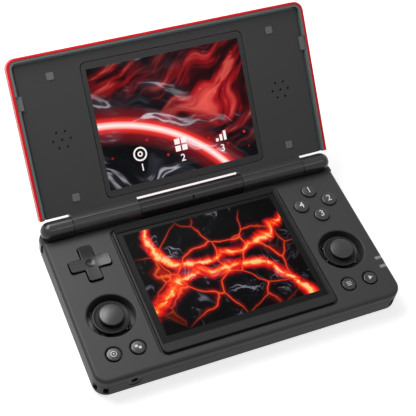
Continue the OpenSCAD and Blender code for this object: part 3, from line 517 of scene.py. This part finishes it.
def light_pipe():
    """Frosted polycarbonate that lets a little light through."""
    material, tree, shader, place = start_finish("frosted_polycarbonate")
    haze = add(tree, "ShaderNodeTexNoise", {"Vector": place, "Scale": 1 / (0.8 * MM)})
    tone = ramp(tree, haze.outputs[0], ((0.3, "#77797b"), (0.7, "#8a8c8e")))
    tree.links.new(tone, shader.inputs["Base Color"])
    shader.inputs["Roughness"].default_value = 0.35
    shader.inputs["Subsurface Weight"].default_value = 0.3
    shader.inputs["Subsurface Scale"].default_value = 0.5 * MM
    return material


finish_nodes(light_pipe(), "light_guides")


# ---- Hinge barrel
# Three fixed barrels on the base and two knuckles on the lid, moulded smoother than
# the faces, so they carry a long soft highlight.

finish_nodes(moulded("charcoal_abs_polished", "#1b1b1c", 0.24, 0.5, 0.008, edge=0.3, shine=0.3), "mid_barrel")
# the end caps are the same charcoal as the mid barrel, drawn in a lighter tone as a painted highlight for the
# sheen they catch
finish_nodes(moulded("charcoal_abs_cap_painted_highlight", "#282829", 0.24, 0.5, 0.008, edge=0.3, shine=0.35),
             "left_end_cap", "right_end_cap")


# ---- Lid
# A red lacquered outer shell, a grey inner rim and a charcoal front panel with the
# knuckles. The glass lies flush in the panel; grey silicone pads stop it on the base.

def lacquer():
    """Red lacquer over ABS under a clear coat, with a slight orange peel."""
    material, tree, shader, place = start_finish("red_lacquer")
    peel = add(tree, "ShaderNodeTexNoise", {"Vector": place, "Scale": 1 / (1.5 * MM), "Detail": 2.0})
    soft_bump(tree, shader, peel.outputs[0], 0.01, 0.4, 0.3)
    tree.links.new(mottled(tree, place, "#d2101b", 30, 1.08), shader.inputs["Base Color"])
    shader.inputs["Roughness"].default_value = 0.35
    shader.inputs["Specular IOR Level"].default_value = 0.12
    shader.inputs["Coat Weight"].default_value = 0.08
    shader.inputs["Coat Roughness"].default_value = 0.12
    return material


finish_nodes(lacquer(), "lid_outer_shell")
finish_nodes(moulded("grey_rim_abs", "#525d5d", 0.45, 0.5, 0.01), "lid_inner_rim")


def knuckled_face():
    """Charcoal ABS, eroded on the face and polished round the knuckles."""
    material = moulded("charcoal_abs_face", "#343435", 0.5, 0.5, 0.02, shine=0.22)
    tree = material.node_tree
    shader = tree.nodes["Principled BSDF"]
    place = add(tree, "ShaderNodeTexCoord").outputs["Object"]
    axis = node_middle("hinge_pins")
    # polished up to 0.1 mm off the barrel's surface, and eroded from 0.6 mm on
    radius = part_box("mid_barrel")[1][2] - axis.z
    reach = length(tree, vectors(tree, "MULTIPLY", vectors(tree, "SUBTRACT", place, axis), (0, 1, 1)))
    matt = add(tree, "ShaderNodeMapRange", {"Value": reach, "From Min": radius + 0.1 * MM,
                                            "From Max": radius + 0.6 * MM, "To Min": 0.26, "To Max": 0.5})
    tree.links.new(matt.outputs[0], shader.inputs["Roughness"])
    return material


finish_nodes(knuckled_face(), "lid_front_panel")
finish_nodes(moulded("grey_silicone", "#565859", 0.6, 0.5, 0.01), "lid_pads", "lid_side_bumpers")


def folds(tree, plane, seed, turn, stops):
    """Soft cloth-like folds, coloured by a ramp."""
    bent = warped(tree, plane, 1.1, 1.1, seed)
    drawn = vectors(tree, "MULTIPLY", spin(tree, bent, "Z", math.radians(turn)), (0.55, 3.0, 1))
    cloth = add(tree, "ShaderNodeTexNoise", {"Vector": drawn, "Scale": 1.5, "Detail": 3.0,
                                             "Roughness": 0.55})
    return ramp(tree, cloth.outputs[0], stops)


def beam_picture(tree, plane):
    """Wallpaper: slate and crimson folds, a few sparks and one glowing curved beam."""
    slate = folds(tree, plane, 21.0, 18, ((0.34, "#07080b"), (0.47, "#121318"), (0.55, "#33333c"),
                                          (0.6, "#c4c1cb"), (0.63, "#4a4752"), (0.72, "#101014")))
    crimson = folds(tree, plane, 33.0, -32, ((0.32, "#0b0206"), (0.46, "#34050b"), (0.55, "#a8131d"),
                                             (0.62, "#ea5a50"), (0.7, "#4c070e")))
    side = maths(tree, "ADD", near(tree, distance(tree, plane, (0.75, 0.3, 0), (0.9, 1.1, 0)), 1.0),
                 near(tree, distance(tree, plane, (-0.7, 0.55, 0), (1, 1.6, 0)), 0.5))
    share = maths(tree, "MULTIPLY", side, 1.7, clamp=True)
    cloth = blend_colours(tree, share, slate, crimson)
    dim = near(tree, distance(tree, plane, (0.1, 0.0, 0), (0.75, 0.9, 0)), 1.5)
    vignette = ramp(tree, dim, ((0.0, "#303036"), (0.75, "#ffffff")))
    cloth = blend_colours(tree, 1.0, cloth, vignette, "MULTIPLY")
    arc = maths(tree, "ABSOLUTE", maths(tree, "SUBTRACT", distance(tree, plane, (-1.15, -2.15, 0)), 2.2))
    beam = ramp(tree, maths(tree, "MULTIPLY", arc, 4.0),
                ((0.0, "#fff4f2"), (0.12, "#ffb0a8"), (0.2, "#f03028"), (0.45, "#700a10"), (1.0, "#000000")))
    cells = add(tree, "ShaderNodeTexVoronoi", {"Vector": plane, "Scale": 5.0, "Randomness": 1.0})
    sparks = ramp(tree, cells.outputs["Distance"], ((0.0, "#ff6040"), (0.05, "#c01818"), (0.12, "#000000")))
    glow = blend_colours(tree, 1.0, beam, sparks, "SCREEN")
    return blend_colours(tree, 1.0, cloth, glow, "SCREEN")


# at rest the lid leans 45.8 degrees up from flat, which is 134.2 degrees open
LID_TILT = math.radians(45.8)
upper_picture = node_middle("upper_glass")
finish_nodes(screen_glass("printed_glass_upper", upper_picture, LID_TILT, "#3a3a3b", beam_picture),
             "upper_glass")


def glowing_white():
    """The white of the menu signs, lit by the panel behind."""
    material, tree, shader, place = start_finish("lit_sign_white")
    shader.inputs["Base Color"].default_value = (0, 0, 0, 1)
    shader.inputs["Emission Color"].default_value = linear("#fdf4f4")
    shader.inputs["Emission Strength"].default_value = 1.0
    shader.inputs["Specular IOR Level"].default_value = 0.1
    return material


sign_white = glowing_white()
# half the upper glass's thickness, and in mm on its plane: the signs' spacing, how far below the middle
# they stand, and how far below them their figures are
LENS_HALF = 0.5 * MM
SIGN_PITCH = 22
SIGN_BELOW = 16
FIGURE_BELOW = 7
MENU_SIGNS = (
    (ring_quads(3.6, 0.8) + ring_quads(1.4, 0.7), "1"),
    ([bar(-3.2, 0.4, -0.4, 3.2), bar(0.4, 0.4, 3.2, 3.2), bar(-3.2, -3.2, -0.4, -0.4),
      bar(0.4, -3.2, 3.2, -0.4)], "2"),
    ([bar(-2.9 + 2.2 * i, -3, -1.5 + 2.2 * i, -1.4 + 1.6 * i) for i in range(3)], "3"),
)
for i, (outlines, figure) in enumerate(MENU_SIGNS):
    sign = outline_mesh("menu_sign_%d" % (i + 1), outlines)
    label = figure_mesh("menu_figure_%d" % (i + 1), figure)
    for piece, below in ((sign, SIGN_BELOW), (label, SIGN_BELOW + FIGURE_BELOW)):
        spot = Matrix.Translation(((i - 1) * SIGN_PITCH * MM, -below * MM, LENS_HALF))
        piece.data.transform(Matrix.Translation(upper_picture) @ Matrix.Rotation(LID_TILT, 4, "X") @ spot)
        repaint(piece, sign_white)
        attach(piece, "lid")


# ---- Studio
# A pale sweep under the console, a soft key lamp on the left, two lamps behind that the
# faces mirror, a long strip in front for the barrel, and a low even fill.

camera_data = bpy.data.cameras.new("camera")
camera = bpy.data.objects.new("camera", camera_data)
bpy.context.scene.collection.objects.link(camera)
camera.location = Vector((-170.5, -293.0, 453.8)) * MM
camera.rotation_euler = [math.radians(angle) for angle in (37.69, -6.42, -22.6)]
camera_data.sensor_width = 36.0
camera_data.lens = 94.52
camera_data.clip_start = 0.01
bpy.context.scene.camera = camera

deselect()
bpy.ops.mesh.primitive_plane_add(size=6, location=(0, 0, -0.02 * MM))
floor = bpy.context.object
floor.name = "floor"
floor_paint, tree, shader, place = start_finish("pale_paper_sweep")
shader.inputs["Base Color"].default_value = linear("#cacaca")
shader.inputs["Roughness"].default_value = 0.9
shader.inputs["Specular IOR Level"].default_value = 0.0


def background_seen(tree):
    """1 to the camera, through clear parts and in mirrored light, and 0 to what lights the object."""
    ray = add(tree, "ShaderNodeLightPath")
    straight = maths(tree, "MAXIMUM", ray.outputs["Is Camera Ray"], ray.outputs["Is Transmission Ray"])
    return maths(tree, "MAXIMUM", straight, ray.outputs["Is Glossy Ray"])


# near the console the sweep keeps its shadow, and further out it runs into the white
white = add(tree, "ShaderNodeMapRange", {"Value": length(tree, place), "From Min": 0.2, "From Max": 0.45,
                                         "To Min": 0.72, "To Max": 1.0}, interpolation_type="SMOOTHSTEP")
seen = maths(tree, "MULTIPLY", background_seen(tree), white.outputs[0])
tree.links.new(seen, shader.inputs["Emission Strength"])
shader.inputs["Emission Color"].default_value = (1, 1, 1, 1)
floor.data.materials.append(floor_paint)

world = bpy.data.worlds.new("studio")
bpy.context.scene.world = world
world.use_nodes = True
tree = world.node_tree
background = tree.nodes["Background"]
background.inputs["Color"].default_value = (1, 1, 1, 1)
level = add(tree, "ShaderNodeMapRange", {"Value": background_seen(tree), "To Min": 0.1, "To Max": 1.0})
tree.links.new(level.outputs[0], background.inputs["Strength"])


def lamp(name, place, target, size, power):
    """A square soft lamp that looks at a point."""
    data = bpy.data.lights.new(name, "AREA")
    data.size = size
    data.energy = power
    made = bpy.data.objects.new(name, data)
    bpy.context.scene.collection.objects.link(made)
    made.location = place
    made.rotation_euler = (Vector(target) - Vector(place)).to_track_quat("-Z", "Y").to_euler()
    return made


lamp("key", (-0.18, 0.12, 0.35), (-0.05, 0, 0.02), 0.2, 1.2)
lamp("back", (-0.1, 0.33, 0.44), (-0.05, 0, 0.02), 0.2, 1.3)
lamp("card", (0.08, 0.36, 0.47), (0, -0.02, 0.01), 0.25, 0.4)
# a long strip in front draws the bright band along the barrel, so it is turned to lie level with it
strip = lamp("strip", (0.15, -0.24, 0.42), (0.15, 0.012, 0.017), 0.4, 0.32)
strip.data.shape = "RECTANGLE"
strip.data.size_y = 0.08
strip.rotation_euler = (math.radians(32), 0, 0)

bpy.context.scene.view_settings.view_transform = "Standard"
